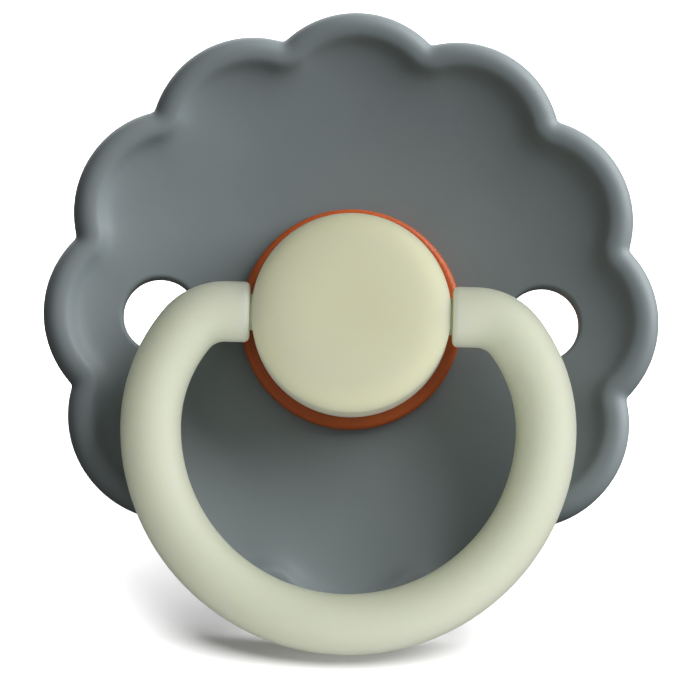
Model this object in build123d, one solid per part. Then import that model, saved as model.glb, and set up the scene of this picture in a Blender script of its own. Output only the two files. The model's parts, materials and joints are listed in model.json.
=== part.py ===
from build123d import *

import os
from math import acos, asin, atan2, cos, degrees, hypot, radians, sin, sqrt

# A baby's pacifier with a scalloped guard, a round natural-rubber teat and a ring handle.
# Lengths are in millimetres and angles in degrees.
#
# Every piece is drawn about the hub: X runs along the handle's pivot, +Y runs from the front
# of the pacifier towards the tip of the teat, and Z is up. Y = 0 is the flat seat on the guard
# where the teat's flange bears. The finished assembly is then laid on a table, resting on the
# guard's lowest petal and on the bulb of the teat.

# Guard
GUARD_TIP_R = 22.0          # centre to the tip of a petal
PETAL_DEPTH = 1.5           # tip of a petal to the valley beside it, measured radially
PETALS = 12
DISH_DEPTH = 3.0            # how far the rim stands forward of the middle of the dish
PLATE = 2.0                 # thickness of the guard
BEAD_HEIGHT = 1.0           # raised bead round the edge
BEAD_WIDTH = 1.9
BEAD_ROUND = 0.8            # outer front corner of the bead
BEAD_INNER_ROUND = 0.7      # inner front corner of the bead
BEAD_FOOT_ROUND = 0.6       # hollow where the bead meets the dish
BACK_ROUND = 0.6            # back corner of the edge
VENT_R = 2.65
VENT_OFFSET = 13.7          # axis of the guard to the axis of a vent

# Teat
FLANGE_R = 7.94
FLANGE = 1.3                # thickness of the flange
FLANGE_ROUND = 0.35
NECK_R = 5.3                # neck behind the guard
WAIST_R = 5.0               # groove that the guard snaps into
SHOULDER_R = 6.0            # swelling that holds the guard forward
SHOULDER_LENGTH = 2.6
BULB_R = 8.6
BULB_CENTRE = 19.5          # seat to the middle of the bulb
NECK_BLEND_R = 5.0          # hollow curve between neck and bulb
TEAT_WALL = 1.5

# Plug, pushed into the neck from the front
PLUG_DISC_R = 5.35
PLUG_DISC = 1.8             # thickness of the disc
RIDGE_HEIGHT = 0.25         # snap ridge round the disc
RIDGE_WIDTH = 0.6
STEM_LENGTH = 8.0           # flange face to the end of the stem
STEM_BORE_R = 2.0
BARB_HEIGHT = 0.55
BARB_START = 4.2            # flange face to the start of the barb
BARB_LENGTH = 1.4

# Button
BUTTON_R = 7.09
BUTTON_DEPTH = 6.3          # flange face to the middle of the button's front
BUTTON_FACE = 1.3           # thickness of the front wall
BUTTON_ROUND = 1.6          # rise of the front over the end of its straight side
FACE_TURNS = (0, 10, 20, 35, 50, 65, 80, 90)    # degrees along the face's rounding

# Handle
TUBE_R = 2.15
BAR_LENGTH = 1.72           # straight stretch between the button and the first bend
CORNER_R = 3.5              # first bend
SIDE_SWELL = 1.58           # how much wider the ring is than its first bends
HANDLE_OVERHANG = 2.25      # how far the ring reaches past the petals
BAR_END_ROUND = 0.4
PIN_R = 1.3
PIN_LENGTH = 2.1
PIN_NOSE = 0.25
PIVOT_HEIGHT = 3.3          # flange face to the axis of the pins

# Clearances
RUNNING = 0.05              # radial, pin in its hole and guard on the teat's waist
SEAT_GAP = 0.05             # guard between the flange and the shoulder
SNAP = 0.05                 # plug in the button and in the neck
BAR_GAP = 0.11              # end of the bar to the side of the button
REST_GAP = 0.3              # handle to the bead that stops it

# Worked out from the sizes above
HALF_PETAL = radians(180 / PETALS)
VALLEY_R = GUARD_TIP_R - PETAL_DEPTH
PETAL_CENTRE_R = (GUARD_TIP_R**2 - VALLEY_R**2) / (2 * (GUARD_TIP_R - VALLEY_R * cos(HALF_PETAL)))
PETAL_R = GUARD_TIP_R - PETAL_CENTRE_R
DISH_R = (GUARD_TIP_R**2 + DISH_DEPTH**2) / (2 * DISH_DEPTH)
SEAT_R = FLANGE_R + RUNNING
DISH_BOTTOM = DISH_R - sqrt(DISH_R**2 - SEAT_R**2)      # the dish's own middle, behind the seat
GUARD_BACK = DISH_BOTTOM + PLATE
RIM_FRONT = DISH_BOTTOM - DISH_DEPTH - BEAD_HEIGHT
BORE_R = NECK_R - TEAT_WALL
STEM_R = BORE_R - SNAP
BUTTON_BORE_R = PLUG_DISC_R + SNAP
PIVOT_Y = -FLANGE - PIVOT_HEIGHT
BAR_START = BUTTON_R + BAR_GAP
RING_HALF = BAR_START + BAR_LENGTH + CORNER_R + SIDE_SWELL
RING_DROP = GUARD_TIP_R + HANDLE_OVERHANG - TUBE_R - RING_HALF
ENDLESS = 3 * GUARD_TIP_R   # longer than anything here, for cutting tools


def strip(inner, outer, front, back):
    """Rectangle between two radii and two distances along the axis."""
    middle = Pos((inner + outer) / 2, (front + back) / 2)
    return middle * Rectangle(outer - inner, back - front)


def turned(profile):
    """Solid of revolution about the pacifier's axis; X of the profile is the radius."""
    return revolve(profile, Axis.Y, 360)


def across(radius, start, end):
    """Cylinder along the pivot's direction, on the pivot, from X = start to X = end."""
    return Pos((start + end) / 2, PIVOT_Y, 0) * Rot(0, 90, 0) * Cylinder(radius, end - start)


def cylinder_back(radius, front, back):
    """Cylinder along the pacifier's axis."""
    return Pos(0, (front + back) / 2, 0) * Rot(90, 0, 0) * Cylinder(radius, back - front)


# ---- guard ----------------------------------------------------------------------------------

def petal_outline(inset):
    """One petal's share of the guard's outline: a wedge with a round end, moved inwards by inset."""
    length = ENDLESS * cos(HALF_PETAL)
    half_width = ENDLESS * sin(HALF_PETAL)
    wedge = make_face(Polyline((0, 0), (length, half_width), (length, -half_width), close=True))
    return wedge & (Circle(PETAL_CENTRE_R) + Pos(PETAL_CENTRE_R, 0) * Circle(PETAL_R - inset))


def prism(outline):
    """Long prism along the pacifier's axis, from an outline in X and Z."""
    return extrude(Plane.XZ * outline, ENDLESS, both=True)


def dished(rise):
    """Round dished plate, a little wider than the guard, with its front raised by rise."""
    front = Pos(0, DISH_BOTTOM - rise - DISH_R) * Circle(DISH_R)
    back = Pos(0, GUARD_BACK - DISH_R) * Circle(DISH_R)
    stock = strip(0, GUARD_TIP_R + PLATE, RIM_FRONT - PLATE, GUARD_BACK + PLATE)
    return turned((stock & back) - front + strip(0, SEAT_R, 0, PLATE))


def dish_y(middle, radius):
    """Where a dished face, whose middle is at Y = middle, stands at one radius."""
    return middle - DISH_R + sqrt(DISH_R**2 - radius**2)


def rim_edge(body, middle, radius):
    """The long edge round a petal's end that passes nearest to one point of a dished face."""
    place = Vector(radius, dish_y(middle, radius), 0)
    long_ones = [edge for edge in body.edges() if edge.length > PETAL_R]
    return min(long_ones, key=lambda edge: (edge.position_at(0.5) - place).length)


def petal():
    """One petal with its bead, cut off along the two valleys beside it, and with no middle."""
    body = dished(BEAD_HEIGHT) & prism(petal_outline(0))
    body -= prism(petal_outline(BEAD_WIDTH)) - dished(0)
    body -= cylinder_back(WAIST_R + RUNNING, -ENDLESS, ENDLESS)
    crest = DISH_BOTTOM - BEAD_HEIGHT
    bead_r = GUARD_TIP_R - BEAD_WIDTH
    body = fillet(rim_edge(body, crest, bead_r), BEAD_INNER_ROUND)
    body = fillet(rim_edge(body, DISH_BOTTOM, bead_r), BEAD_FOOT_ROUND)
    body = fillet(rim_edge(body, crest, GUARD_TIP_R), BEAD_ROUND)
    return fillet(rim_edge(body, GUARD_BACK, GUARD_TIP_R), BACK_ROUND).solid()


def guard():
    first = petal()
    others = [Rot(0, number * 360 / PETALS, 0) * first for number in range(1, PETALS)]
    body = first.fuse(*others)
    for side in (-1, 1):
        body -= Pos(side * VENT_OFFSET, 0, 0) * cylinder_back(VENT_R, -ENDLESS, ENDLESS)
    return body


# ---- teat -----------------------------------------------------------------------------------

def neck_and_bulb(inset, front):
    """Profile of the neck and bulb, moved inwards by inset, starting at front."""
    neck = strip(0, NECK_R - inset, front, BULB_CENTRE)
    bulb = Pos(0, BULB_CENTRE) * Circle(BULB_R - inset)
    bulb &= strip(0, BULB_R, BULB_CENTRE - BULB_R, BULB_CENTRE + BULB_R)
    profile = neck + bulb
    corners = [v for v in profile.vertices() if abs(v.X - NECK_R + inset) < SNAP]
    return fillet(max(corners, key=lambda v: v.Y), NECK_BLEND_R + inset)


def teat():
    waist_end = GUARD_BACK + SEAT_GAP
    shoulder = strip(0, SHOULDER_R, waist_end, waist_end + SHOULDER_LENGTH)
    corner = shoulder.vertices().sort_by(Axis.X)[-2:].sort_by(Axis.Y)[-1]
    shoulder = chamfer(corner, SHOULDER_R - NECK_R)
    flange = strip(0, FLANGE_R, -FLANGE, 0)
    flange = fillet(flange.vertices().sort_by(Axis.X)[-2:], FLANGE_ROUND)
    outside = neck_and_bulb(0, waist_end) + shoulder + flange + strip(0, WAIST_R, -FLANGE, waist_end)
    recess_start = BARB_START - FLANGE
    recess = strip(0, BORE_R + BARB_HEIGHT, recess_start - SNAP, recess_start + BARB_LENGTH + SNAP)
    hollow = neck_and_bulb(TEAT_WALL, -FLANGE) + recess
    return turned(outside - hollow)


# ---- plug and button ------------------------------------------------------------------------

def plug():
    disc = strip(0, PLUG_DISC_R, -FLANGE - PLUG_DISC, -FLANGE)
    ridge = snap_ring(PLUG_DISC_R, RIDGE_WIDTH, RIDGE_HEIGHT)
    stem = strip(0, STEM_R, -FLANGE, STEM_LENGTH - FLANGE)
    barb_start = BARB_START - FLANGE
    barb = strip(0, STEM_R + BARB_HEIGHT, barb_start, barb_start + BARB_LENGTH)
    nose = barb.vertices().sort_by(Axis.X)[-2:].sort_by(Axis.Y)[-1]
    barb = chamfer(nose, BARB_HEIGHT)
    bore = strip(0, STEM_BORE_R, -ENDLESS, ENDLESS)
    return turned(disc + ridge + stem + barb - bore)


def snap_ring(radius, width, height):
    """Rounded band half-way up the plug's disc, for the ridge and for its groove."""
    middle = -FLANGE - PLUG_DISC / 2
    band = strip(0, radius + height, middle - width / 2, middle + width / 2)
    return chamfer(band.vertices().sort_by(Axis.X)[-2:], height / 2)


def domed_block():
    """Solid button: flat in the middle of its face, rounding ever faster into its straight side."""
    front = -FLANGE - BUTTON_DEPTH
    side_start = front + BUTTON_ROUND
    turns = [radians(turn) for turn in FACE_TURNS]
    face = Spline(
        *[(BUTTON_R * sqrt(sin(turn)), side_start - BUTTON_ROUND * cos(turn)) for turn in turns],
        tangents=[(1, 0), (0, 1)],
    )
    side = Line((BUTTON_R, side_start), (BUTTON_R, -FLANGE))
    foot = Line((BUTTON_R, -FLANGE), (0, -FLANGE))
    middle = Line((0, -FLANGE), (0, front))
    return turned(make_face(Wire([*face.edges(), *side.edges(), *foot.edges(), *middle.edges()])))


def button_cap():
    front = -FLANGE - BUTTON_DEPTH
    hollow = strip(0, BUTTON_BORE_R, front + BUTTON_FACE, -FLANGE)
    groove = snap_ring(BUTTON_BORE_R, RIDGE_WIDTH + 2 * SNAP, RIDGE_HEIGHT)
    return domed_block() - turned(hollow + groove) - across(PIN_R + RUNNING, -ENDLESS, ENDLESS)


# ---- handle ---------------------------------------------------------------------------------

def side_arc_r():
    """Radius of the side that runs tangent from the first bend into the lower half circle."""
    overlap = BAR_START + BAR_LENGTH - RING_HALF
    drop = RING_DROP - CORNER_R
    return (CORNER_R**2 - overlap**2 - drop**2) / (2 * (overlap + CORNER_R))


def handle_path():
    """Centre line of the open ring, from one end of the bar round to the other, in X and Z."""
    bend_x = BAR_START + BAR_LENGTH
    side_r = side_arc_r()
    side_x = RING_HALF - side_r
    slope = atan2(RING_DROP - CORNER_R, bend_x - side_x)
    join = (side_x + side_r * cos(slope), -RING_DROP + side_r * sin(slope))
    right = Line((BAR_START, 0), (bend_x, 0))
    right += RadiusArc((bend_x, 0), join, CORNER_R)
    right += RadiusArc(join, (RING_HALF, -RING_DROP), side_r)
    lower = ThreePointArc((RING_HALF, -RING_DROP), (0, -RING_DROP - RING_HALF), (-RING_HALF, -RING_DROP))
    return Plane.XZ * (right + lower + mirror(right, Plane.YZ))


def rest_lean():
    """Angle that the handle leans forward of the guard's plane when it lies on the bead."""
    crest_r = GUARD_TIP_R - BEAD_ROUND
    turn = (crest_r**2 - RING_DROP**2 - RING_HALF**2) / (2 * RING_DROP * RING_HALF)
    crossing = RING_DROP + RING_HALF * turn
    crest_y = dish_y(DISH_BOTTOM - BEAD_HEIGHT, crest_r)
    forward = PIVOT_Y - (crest_y - REST_GAP - TUBE_R)
    return degrees(asin(forward / crossing))


def ring_handle():
    path = Wire(handle_path().edges())
    start = Plane(origin=path.position_at(0), z_dir=path.tangent_at(0))
    tube = sweep(start * Circle(TUBE_R), path)
    ends = [e for e in tube.edges() if abs(abs(e.center().X) - BAR_START) < 1e-3]
    ring = Pos(0, PIVOT_Y, 0) * fillet(ends, BAR_END_ROUND)
    for side in (-1, 1):
        inner = side * (BAR_START - PIN_LENGTH)
        outer = side * (BAR_START + BAR_END_ROUND)
        pin = across(PIN_R, min(inner, outer), max(inner, outer))
        nose = [e for e in pin.edges() if abs(e.center().X - inner) < 1e-3]
        ring += chamfer(nose, PIN_NOSE)
    return ring.rotate(Axis((0, PIVOT_Y, 0), (1, 0, 0)), -rest_lean())


# ---- laying the pacifier on a table ---------------------------------------------------------

def table_lean():
    """Angle between the pacifier's axis and the table, from the two points that touch it."""
    edge_y = GUARD_BACK - DISH_DEPTH - BACK_ROUND
    edge_z = GUARD_TIP_R - BACK_ROUND
    along = BULB_CENTRE - edge_y
    difference = BULB_R - BACK_ROUND
    return degrees(acos(difference / hypot(edge_z, along)) - atan2(along, edge_z))


def main():
    pieces = {
        "shield": guard(),
        "teat": teat(),
        "plug": plug(),
        "button_cap": button_cap(),
        "ring_handle": ring_handle(),
    }
    laid = {name: Rot(-table_lean(), 0, 0) * piece.solid() for name, piece in pieces.items()}
    box = Compound(list(laid.values())).bounding_box()
    to_table = Pos(0, -(box.min.Y + box.max.Y) / 2, -box.min.Z)
    os.makedirs("parts", exist_ok=True)
    for name, piece in laid.items():
        export_step(to_table * piece, f"parts/{name}.step")


main()
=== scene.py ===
"""Looks of the pacifier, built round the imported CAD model.

The guard is a new mesh: its rim bead is a smooth function of the distance to the scalloped edge.
The teat, plug, button and handle keep their CAD shapes and get finished materials.
Lengths are in metres, in the row's frame. "Hub" coordinates are X along the handle's pivot,
Y along the pacifier's axis from its front to its teat, and Z up in the guard's plane.
"""
import json
import math

import bmesh
import bpy
import numpy as np
from mathutils import Matrix, Vector


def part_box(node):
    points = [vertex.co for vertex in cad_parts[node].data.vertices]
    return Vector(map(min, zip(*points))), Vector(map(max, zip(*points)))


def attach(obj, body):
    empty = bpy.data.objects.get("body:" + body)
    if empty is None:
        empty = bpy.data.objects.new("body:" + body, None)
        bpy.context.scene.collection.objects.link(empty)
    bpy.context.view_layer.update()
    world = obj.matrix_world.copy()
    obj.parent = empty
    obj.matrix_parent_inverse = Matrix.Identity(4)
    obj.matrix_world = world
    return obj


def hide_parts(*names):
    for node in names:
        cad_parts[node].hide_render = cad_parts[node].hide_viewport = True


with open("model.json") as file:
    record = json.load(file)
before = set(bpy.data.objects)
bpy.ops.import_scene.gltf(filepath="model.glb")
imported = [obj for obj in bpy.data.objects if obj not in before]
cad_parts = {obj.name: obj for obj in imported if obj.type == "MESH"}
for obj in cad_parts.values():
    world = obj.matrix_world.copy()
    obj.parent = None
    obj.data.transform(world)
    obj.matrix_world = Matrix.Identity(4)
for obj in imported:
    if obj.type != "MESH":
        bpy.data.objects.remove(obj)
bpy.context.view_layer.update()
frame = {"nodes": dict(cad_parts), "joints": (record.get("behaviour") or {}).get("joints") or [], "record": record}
MM = 0.001

# ---- places taken from the frame ------------------------------------------------------------

JOINTS = {joint["name"]: joint for joint in frame["joints"]}
MOUNTS = {mount["name"]: mount for mount in frame["record"]["mounts"]}
HUB = Vector(JOINTS["guard_turn"]["pos_m"])
AXIS = Vector(JOINTS["guard_turn"]["axis"]).normalized()
RIGHT = Vector((1, 0, 0))
UP = RIGHT.cross(AXIS)
TO_ROW = Matrix((RIGHT, AXIS, UP)).transposed()


def to_hub(point):
    """Hub coordinates of a point in the row's frame."""
    return TO_ROW.transposed() @ (Vector(point) - HUB)


VENT_X = abs(to_hub(MOUNTS["vent_right"]["pos_m"]).x)
VENT_R = MOUNTS["vent_right"]["dims"]["r_mm"] * MM

# ---- guard ----------------------------------------------------------------------------------

# Petals, dish, plate, seat and hole have the CAD model's sizes. The bead's section and the
# roundings are this mesh's own.
GUARD_LOW, GUARD_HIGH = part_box("shield")
TIP_R = (GUARD_HIGH.x - GUARD_LOW.x) / 2
PETALS = 12
PETAL_DEPTH = 1.5 * MM
VALLEY_ROUND = 0.4 * MM     # rounding of the corner between two petals
DISH_DEPTH = 3.0 * MM
PLATE = 2.0 * MM
SEAT_R = 7.99 * MM          # flat seat under the teat's flange
HOLE_R = 5.05 * MM          # hole for the teat's waist
BEAD_HEIGHT = 1.05 * MM     # crest of the bead over the dish
CREST = 1.35 * MM           # edge to the crest
OUTER_DROP = 1.3 * MM       # crest down to the top of the edge's upright band
STEP_SHARE = 0.62           # share of the height that falls away in the steep inner step
STEP = 0.8 * MM             # how far inside the crest that step is half done
TAIL = 2.0 * MM             # how far inside the crest the rest is half as high
BEAD_FADE = 6.0 * MM        # how far inside the crest the bead has faded into the dish
BEAD_RINGS = 5.0 * MM       # the mesh's rings follow the petals this far in, then turn into circles
BACK_ROUND = 0.7 * MM       # rounding of the back edge
VENT_ROUND = 0.3 * MM       # rounding of a vent's lips

HALF_PETAL = math.pi / PETALS
VALLEY_R = TIP_R - PETAL_DEPTH
PETAL_CENTRE = (TIP_R**2 - VALLEY_R**2) / (2 * (TIP_R - VALLEY_R * math.cos(HALF_PETAL)))
PETAL_R = TIP_R - PETAL_CENTRE
DISH_R = (TIP_R**2 + DISH_DEPTH**2) / (2 * DISH_DEPTH)
DISH_BOTTOM = DISH_R - math.sqrt(DISH_R**2 - SEAT_R**2)

# Centre of the small arc that rounds the valley between two petals, outside the guard.
ROUND_CENTRE = PETAL_CENTRE * math.cos(HALF_PETAL) + math.sqrt(
    (PETAL_R + VALLEY_ROUND) ** 2 - (PETAL_CENTRE * math.sin(HALF_PETAL)) ** 2
)
ROUND_X = ROUND_CENTRE * math.cos(HALF_PETAL)
ROUND_Z = ROUND_CENTRE * math.sin(HALF_PETAL)
ROUND_TURN = math.atan2(ROUND_Z, ROUND_X - PETAL_CENTRE)

# Fineness of the guard's mesh.
COLUMNS = PETALS * 44               # points in each ring
VENT_HALF = COLUMNS // 17           # columns each side of a vent that its own patch takes over
VENT_MARGIN = 1.0 * MM              # the patch reaches at least this far past the vent's wall
VENT_STEPS = 10                     # rings between the patch's square border and the lip
VENT_CROWDING = 1.3                 # above 1, those rings lie closer together near the lip
SHOULDER_BENDS = np.linspace(0, math.pi / 2, 9)
ROUND_BENDS = np.linspace(0, math.pi / 2, 6)
SLOPE_SHARES = np.linspace(0, 1, 33)[1:]
CIRCLE_SHARES = np.linspace(0, 1, 15)[1:]
BAND_SHARES = (0.33, 0.67, 1.0)


def folded(angle):
    """Angle from the middle of the nearest petal, 0 to half a petal."""
    turn = np.mod(angle + HALF_PETAL, 2 * HALF_PETAL) - HALF_PETAL
    return np.abs(turn)


def edge_radius(angle, inset):
    """Radius of the curve that runs inset inside the guard's edge."""
    turn = folded(angle)
    join_x = PETAL_CENTRE + (PETAL_R - inset) * math.cos(ROUND_TURN)
    join_z = (PETAL_R - inset) * math.sin(ROUND_TURN)
    on_round = turn > math.atan2(join_z, join_x)
    petal = (PETAL_R - inset) ** 2 - (PETAL_CENTRE * np.sin(turn)) ** 2
    valley = (VALLEY_ROUND + inset) ** 2 - (ROUND_CENTRE * np.sin(HALF_PETAL - turn)) ** 2
    outer = PETAL_CENTRE * np.cos(turn) + np.sqrt(np.maximum(petal, 0))
    inner = ROUND_CENTRE * np.cos(HALF_PETAL - turn) - np.sqrt(np.maximum(valley, 0))
    return np.where(on_round, inner, outer)


def edge_distance(x, z):
    """Distance inwards from the guard's edge."""
    radius = np.hypot(x, z)
    turn = folded(np.arctan2(z, x))
    along, across = radius * np.cos(turn), radius * np.sin(turn)
    from_petal = PETAL_R - np.hypot(along - PETAL_CENTRE, across)
    from_round = np.hypot(along - ROUND_X, across - ROUND_Z) - VALLEY_ROUND
    on_round = np.arctan2(across, along - PETAL_CENTRE) > ROUND_TURN
    return np.where(on_round, from_round, from_petal)


def bead(distance):
    """Height of the bead over the dish: round outside its crest, a long fading slope inside it."""
    out = np.clip((CREST - distance) / CREST, 0, 1)
    shoulder = BEAD_HEIGHT - OUTER_DROP * (1 - np.sqrt(1 - out**2))
    inside = np.clip(distance - CREST, 0, BEAD_FADE)
    fade = 1 - (inside / BEAD_FADE) ** 4
    step = STEP_SHARE / (1 + (inside / STEP) ** 4)
    tail = (1 - STEP_SHARE) / (1 + (inside / TAIL) ** 2)
    slope = BEAD_HEIGHT * fade * (step + tail)
    return np.where(distance < CREST, shoulder, slope)


def dish(radius, middle):
    """Y of the spherical dish at a radius, where middle is its Y on the axis."""
    return middle - DISH_R + np.sqrt(DISH_R**2 - radius**2)


def front_y(x, z):
    """Y of the guard's front: dish and bead, and a flat seat in the middle."""
    radius = np.hypot(x, z)
    y = dish(radius, DISH_BOTTOM) - bead(edge_distance(x, z))
    return np.where(radius < SEAT_R, 0.0, y)


def back_y(x, z):
    """Y of the guard's back, one plate behind the dish."""
    return dish(np.hypot(x, z), DISH_BOTTOM + PLATE)


class MeshBuilder:
    """Collects rings of points in hub coordinates and the quads between them."""

    def __init__(self):
        self.points = []
        self.faces = []
        self.count = 0

    def ring(self, x, y, z):
        """Adds one loop of points and returns their numbers."""
        self.points.append(np.stack(np.broadcast_arrays(x, y, z), axis=1))
        numbers = np.arange(self.count, self.count + len(self.points[-1]))
        self.count += len(numbers)
        return numbers

    def strip(self, first, second, skip=()):
        """Joins two loops with quads, apart from the columns in skip."""
        total = len(first)
        for i in range(total):
            if i not in skip:
                j = (i + 1) % total
                self.faces.append((first[i], first[j], second[j], second[i]))

    def mesh(self, name):
        """Smooth mesh of everything collected, in the row's frame."""
        data = bpy.data.meshes.new(name)
        points = np.concatenate(self.points) @ np.array(TO_ROW).T + np.array(HUB)
        data.from_pydata(points.tolist(), [], [tuple(int(n) for n in face) for face in self.faces])
        data.validate()
        data.polygons.foreach_set("use_smooth", [True] * len(data.polygons))
        data.update()
        return data


def new_object(name, data):
    """Object for a mesh, light or camera, put in the scene."""
    piece = bpy.data.objects.new(name, data)
    bpy.context.scene.collection.objects.link(piece)
    return piece


def guard_face(build, angle, insets, height):
    """Rings from the edge to the seat, with a square left out round each vent.

    The first rings run at the given insets from the edge, the others turn into circles.
    Returns the outermost ring, the innermost ring and the loop of points round each vent.
    """
    inner_edge = edge_radius(angle, insets[-1])
    radii = [edge_radius(angle, inset) for inset in insets]
    radii += [inner_edge + (SEAT_R - inner_edge) * share for share in CIRCLE_SHARES]
    rings = []
    for radius in radii:
        x, z = radius * np.cos(angle), radius * np.sin(angle)
        rings.append(build.ring(x, height(x, z), z))
    reach = VENT_R + VENT_MARGIN
    first = max(i for i, radius in enumerate(radii) if radius[0] > VENT_X + reach)
    last = min(i for i, radius in enumerate(radii) if radius[0] < VENT_X - reach)
    loops = []
    taken = set()
    for middle in (0, COLUMNS // 2):
        columns = [(middle + i) % COLUMNS for i in range(-VENT_HALF, VENT_HALF + 1)]
        taken.update(columns[:-1])
        loop = [rings[first][i] for i in columns]
        loop += [rings[j][columns[-1]] for j in range(first + 1, last + 1)]
        loop += [rings[last][i] for i in reversed(columns[:-1])]
        loop += [rings[j][columns[0]] for j in range(last - 1, first, -1)]
        loops.append(loop)
    for j in range(len(rings) - 1):
        build.strip(rings[j], rings[j + 1], taken if first <= j < last else ())
    return rings[0], rings[-1], loops


def vent_funnel(build, loop, side, height, depth_sign):
    """Rings from the square round a vent to its wall, with a rounded lip. Returns the last ring."""
    points = np.concatenate(build.points)[loop]
    x, z = points[:, 0], points[:, 2]
    turn = np.arctan2(z, x - side * VENT_X)
    lip_x = side * VENT_X + (VENT_R + VENT_ROUND) * np.cos(turn)
    lip_z = (VENT_R + VENT_ROUND) * np.sin(turn)
    last = np.array(loop)
    for step in range(1, VENT_STEPS + 1):
        share = 1 - (1 - step / VENT_STEPS) ** VENT_CROWDING
        ring_x, ring_z = x + (lip_x - x) * share, z + (lip_z - z) * share
        ring = build.ring(ring_x, height(ring_x, ring_z), ring_z)
        build.strip(last, ring)
        last = ring
    for bend in ROUND_BENDS[1:]:
        radius = VENT_R + VENT_ROUND * (1 - math.sin(bend))
        ring_x, ring_z = side * VENT_X + radius * np.cos(turn), radius * np.sin(turn)
        y = height(ring_x, ring_z) + depth_sign * VENT_ROUND * (1 - math.cos(bend))
        ring = build.ring(ring_x, y, ring_z)
        build.strip(last, ring)
        last = ring
    return last


def make_guard():
    """The whole guard as one closed mesh: two faces, the edge, two vents and the middle hole."""
    build = MeshBuilder()
    angle = np.linspace(0, 2 * math.pi, COLUMNS, endpoint=False)
    shoulder = CREST * (1 - np.cos(SHOULDER_BENDS))
    slope = CREST + (BEAD_RINGS - CREST) * SLOPE_SHARES
    front_insets = [*shoulder, *slope]
    back_insets = [BACK_ROUND, (BACK_ROUND + CREST) / 2, CREST, *slope]
    front_edge, front_seat, front_vents = guard_face(build, angle, front_insets, front_y)
    back_edge, back_seat, back_vents = guard_face(build, angle, back_insets, back_y)

    # Upright band from the front's edge down to the rounding of the back edge.
    edge = edge_radius(angle, 0)
    x, z = edge * np.cos(angle), edge * np.sin(angle)
    top, bottom = front_y(x, z), back_y(x, z) - BACK_ROUND
    last = front_edge
    for share in BAND_SHARES:
        ring = build.ring(x, top + (bottom - top) * share, z)
        build.strip(ring, last)
        last = ring
    for bend in ROUND_BENDS[1:-1]:
        radius = edge_radius(angle, BACK_ROUND * (1 - math.cos(bend)))
        ring_x, ring_z = radius * np.cos(angle), radius * np.sin(angle)
        y = back_y(ring_x, ring_z) - BACK_ROUND * (1 - math.sin(bend))
        ring = build.ring(ring_x, y, ring_z)
        build.strip(ring, last)
        last = ring
    build.strip(back_edge, last)

    for side, front_loop, back_loop in zip((1, -1), front_vents, back_vents):
        front_lip = vent_funnel(build, front_loop, side, front_y, 1)
        back_lip = vent_funnel(build, back_loop, side, back_y, -1)
        build.strip(front_lip, back_lip)

    hole_x, hole_z = HOLE_R * np.cos(angle), HOLE_R * np.sin(angle)
    hole_front = build.ring(hole_x, 0.0, hole_z)
    hole_back = build.ring(hole_x, back_y(hole_x, hole_z), hole_z)
    build.strip(front_seat, hole_front)
    build.strip(hole_front, hole_back)
    build.strip(hole_back, back_seat)

    piece = new_object("guard", build.mesh("guard"))
    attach(piece, "guard")
    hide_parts("shield")
    return piece


def recalculate_normals(piece):
    """Turns every face of a closed mesh outwards."""
    mesh = bmesh.new()
    mesh.from_mesh(piece.data)
    bmesh.ops.recalc_face_normals(mesh, faces=mesh.faces)
    mesh.to_mesh(piece.data)
    mesh.free()


# ---- materials ------------------------------------------------------------------------------

NOISE_LOW = 0.3     # nearly all of a noise's values lie between these two
NOISE_HIGH = 0.7


class Paint:
    """A node material with a few short ways to add its nodes."""

    def __init__(self, name):
        self.material = bpy.data.materials.new(name)
        self.material.use_nodes = True
        self.tree = self.material.node_tree
        self.shader = self.tree.nodes["Principled BSDF"]
        self.place = self.add("ShaderNodeTexCoord").outputs["Object"]

    def add(self, kind, **settings):
        node = self.tree.nodes.new(kind)
        for name, value in settings.items():
            setattr(node, name, value)
        return node

    def link(self, source, target):
        self.tree.links.new(source, target)

    def noise(self, scale, detail=3.0, roughness=0.55):
        node = self.add("ShaderNodeTexNoise")
        node.inputs["Scale"].default_value = scale
        node.inputs["Detail"].default_value = detail
        node.inputs["Roughness"].default_value = roughness
        self.link(self.place, node.inputs["Vector"])
        return node.outputs["Fac"]

    def ramp(self, noise, low, high):
        """Colour that runs from low to high with a noise."""
        node = self.add("ShaderNodeValToRGB")
        stops = ((NOISE_LOW, low), (NOISE_HIGH, high))
        for element, (position, colour) in zip(node.color_ramp.elements, stops):
            element.position = position
            element.color = (*colour, 1.0)
        self.link(noise, node.inputs["Fac"])
        return node.outputs["Color"]

    def ranged(self, noise, low, high):
        """Number that runs from low to high with a noise."""
        node = self.add("ShaderNodeMapRange")
        node.inputs["From Min"].default_value = NOISE_LOW
        node.inputs["From Max"].default_value = NOISE_HIGH
        node.inputs["To Min"].default_value = low
        node.inputs["To Max"].default_value = high
        self.link(noise, node.inputs["Value"])
        return node.outputs["Result"]

    def bump(self, height, distance, strength, under=None):
        """Normal bent by a height, over the normal of another bump."""
        node = self.add("ShaderNodeBump")
        node.inputs["Distance"].default_value = distance
        node.inputs["Strength"].default_value = strength
        self.link(height, node.inputs["Height"])
        if under is not None:
            self.link(under, node.inputs["Normal"])
        return node.outputs["Normal"]

    def set(self, **values):
        """Sets shader sockets, whose names have _ for each space, to constants or links."""
        for name, value in values.items():
            socket = self.shader.inputs[name.replace("_", " ")]
            if isinstance(value, bpy.types.NodeSocket):
                self.link(value, socket)
            else:
                socket.default_value = value


# Noise scales are per metre, bump distances in metres.

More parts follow.
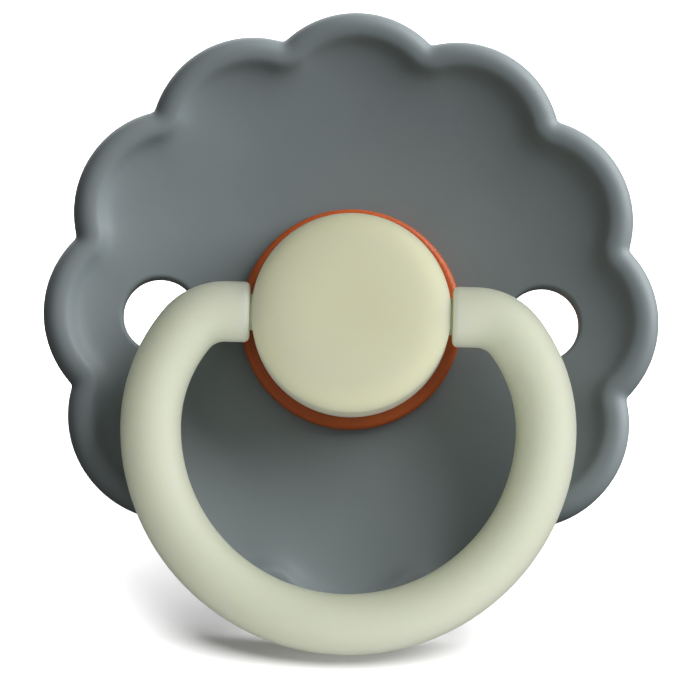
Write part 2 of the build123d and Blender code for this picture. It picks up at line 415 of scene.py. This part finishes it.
def guard_material():
    """Matte sage plastic with a fine grain."""
    paint = Paint("sage_matte_plastic")
    cloud = paint.noise(140, 4)
    colour = paint.ramp(cloud, (0.186, 0.220, 0.230), (0.198, 0.234, 0.245))
    grain = paint.bump(paint.noise(9000, 2), 0.00002, 0.35)
    grain = paint.bump(paint.noise(600, 3), 0.00006, 0.12, grain)
    paint.set(Base_Color=colour, Roughness=paint.ranged(cloud, 0.50, 0.58), Normal=grain)
    paint.set(IOR=1.49)
    return paint.material


def cream_material(name, low, high):
    """Translucent cream plastic, its colour between low and high."""
    paint = Paint(name)
    cloud = paint.noise(110, 4)
    grain = paint.bump(paint.noise(8000, 2), 0.00002, 0.25)
    grain = paint.bump(paint.noise(450, 3), 0.00008, 0.10, grain)
    colour = paint.ramp(cloud, low, high)
    paint.set(Base_Color=colour, Roughness=paint.ranged(cloud, 0.40, 0.48), Normal=grain)
    paint.set(IOR=1.49, Subsurface_Weight=0.85, Subsurface_Scale=0.003)
    paint.shader.inputs["Subsurface Radius"].default_value = (1.0, 1.0, 0.7)
    return paint.material


def latex_material():
    """Amber latex with a slight skin."""
    paint = Paint("amber_latex")
    cloud = paint.noise(160, 4)
    colour = paint.ramp(cloud, (0.43, 0.088, 0.018), (0.49, 0.106, 0.022))
    skin = paint.bump(paint.noise(900, 3), 0.00005, 0.15)
    paint.set(Base_Color=colour, Roughness=paint.ranged(cloud, 0.36, 0.46), Normal=skin)
    paint.set(IOR=1.52, Specular_IOR_Level=0.3, Subsurface_Weight=0.6, Subsurface_Scale=0.0018)
    paint.shader.inputs["Subsurface Radius"].default_value = (1.0, 0.45, 0.15)
    return paint.material


def paint_nodes():
    """Gives the CAD nodes that keep their own mesh their materials."""
    ring = cream_material("cream_ring_plastic", (0.755, 0.795, 0.640), (0.790, 0.830, 0.675))
    button = cream_material("cream_button_plastic", (0.84, 0.85, 0.55), (0.87, 0.88, 0.59))
    latex = latex_material()
    button_shader = button.node_tree.nodes["Principled BSDF"]
    button_shader.inputs["Sheen Weight"].default_value = 0.3
    button_shader.inputs["Sheen Roughness"].default_value = 0.4
    finishes = {"button_cap": button, "plug": button, "ring_handle": ring, "teat": latex}
    for node, material in finishes.items():
        for slot in frame["nodes"][node].material_slots:
            slot.material = material


# ---- stage ----------------------------------------------------------------------------------

FLOOR_HALF = 4.0
FLOOR_GLOW = 0.09       # keeps the shadow on the table pale
AMBIENT_COLOUR = (1.0, 0.96, 0.88, 1.0)
AMBIENT = 0.08


def make_floor():
    """Pale table, hidden from bounced light: the cream_bounce light stands in for its glow."""
    data = bpy.data.meshes.new("floor")
    signs = ((-1, -1), (1, -1), (1, 1), (-1, 1))
    corners = [(x * FLOOR_HALF, y * FLOOR_HALF, 0) for x, y in signs]
    data.from_pydata(corners, [], [(0, 1, 2, 3)])
    floor = new_object("floor", data)
    paint = Paint("pale_floor")
    colour = paint.ramp(paint.noise(30, 3), (0.90, 0.90, 0.90), (0.92, 0.92, 0.92))
    paint.set(Base_Color=colour, Roughness=0.9)
    paint.set(Emission_Color=(0.94, 0.92, 1.0, 1.0), Emission_Strength=FLOOR_GLOW)
    data.materials.append(paint.material)
    floor.visible_diffuse = False
    floor.visible_glossy = False
    return floor


def area_light(name, azimuth, elevation, distance, size, power):
    """A round soft light, aimed at the hub and unseen by the camera.

    The azimuth runs from the right towards the back. Angles are in degrees, power in watts.
    """
    data = bpy.data.lights.new(name, "AREA")
    data.shape = "DISK"
    data.size = size
    data.energy = power
    light = new_object(name, data)
    across = math.cos(math.radians(elevation))
    turn = math.radians(azimuth)
    way = Vector((across * math.cos(turn), across * math.sin(turn), math.sin(math.radians(elevation))))
    light.location = HUB + way * distance
    light.rotation_mode = "QUATERNION"
    light.rotation_quaternion = way.to_track_quat("Z", "Y")
    light.visible_camera = False
    return light


def group(name, *members):
    """Collection that only says which objects a light reaches or is blocked by."""
    collection = bpy.data.collections.new(name)
    for member in members:
        collection.objects.link(member)
    return collection


def make_lights(floor, guard):
    """Soft lights for the guard with the teat, for the cream parts and for the table."""
    nodes = frame["nodes"]
    cream = group("cream_parts", nodes["ring_handle"], nodes["button_cap"], nodes["plug"])
    dark = group("guard_and_teat", guard, nodes["teat"])
    names = ("ring_handle", "button_cap", "plug", "teat")
    whole = group("pacifier", guard, *(nodes[name] for name in names))

    # Arguments: name, azimuth, elevation, distance, size, power.
    for name, parts, power in (("guard_key", dark, 5.0), ("cream_key", cream, 1.05)):
        key = area_light(name, 2, 38, 0.5, 0.55, power)
        key.light_linking.receiver_collection = parts
    front = area_light("guard_front", -60, 30, 0.5, 2.5, 4.0)
    front.light_linking.receiver_collection = dark
    dome = area_light("cream_dome", -60, 22, 1.0, 4.0, 26)
    dome.light_linking.receiver_collection = cream
    dome.light_linking.blocker_collection = cream
    bounce = area_light("cream_bounce", -80, -40, 0.6, 1.6, 2.6)
    bounce.light_linking.receiver_collection = cream
    bounce.light_linking.blocker_collection = cream
    back = area_light("back", 100, 15, 0.6, 0.8, 4.0)
    back.light_linking.receiver_collection = whole
    table = area_light("table_light", 40, 62, 0.6, 1.6, 30)
    table.light_linking.receiver_collection = group("table", floor)

    world = bpy.data.worlds.new("studio")
    world.use_nodes = True
    background = world.node_tree.nodes["Background"]
    background.inputs["Color"].default_value = AMBIENT_COLOUR
    background.inputs["Strength"].default_value = AMBIENT
    bpy.context.scene.world = world


CAMERA_DISTANCE = 0.350
SENSOR = 36.0                 # width of the camera's sensor, in its own millimetres
FIELD = 0.050                 # width of the picture at the guard
BELOW_AXIS = math.radians(5.0)
ROLL = math.radians(1.4)
AIM_DOWN = 2.35 * MM          # middle of the picture, below and beside the middle of the guard
AIM_RIGHT = -0.02 * MM
RIM_AHEAD = 2.6 * MM          # the plane of the picture, in front of the hub


def make_camera():
    """Looks along the pacifier's axis, from a little below it."""
    data = bpy.data.cameras.new("camera")
    data.sensor_width = SENSOR
    data.lens = SENSOR * CAMERA_DISTANCE / FIELD
    data.clip_start, data.clip_end = 0.01, 20
    camera = new_object("camera", data)
    way = Matrix.Rotation(BELOW_AXIS, 3, RIGHT) @ -AXIS
    camera_up = way.cross(RIGHT)
    rim = HUB - AXIS * RIM_AHEAD
    aim = rim - camera_up * AIM_DOWN + RIGHT * AIM_RIGHT
    camera.location = aim + way * CAMERA_DISTANCE
    camera.rotation_mode = "QUATERNION"
    turn = way.to_track_quat("Z", "Y")
    camera.rotation_quaternion = turn @ Matrix.Rotation(ROLL, 3, "Z").to_quaternion()
    bpy.context.scene.camera = camera


make_camera()
guard = make_guard()
recalculate_normals(guard)
guard.data.materials.append(guard_material())
paint_nodes()
make_lights(make_floor(), guard)
bpy.context.scene.view_settings.view_transform = "Standard"
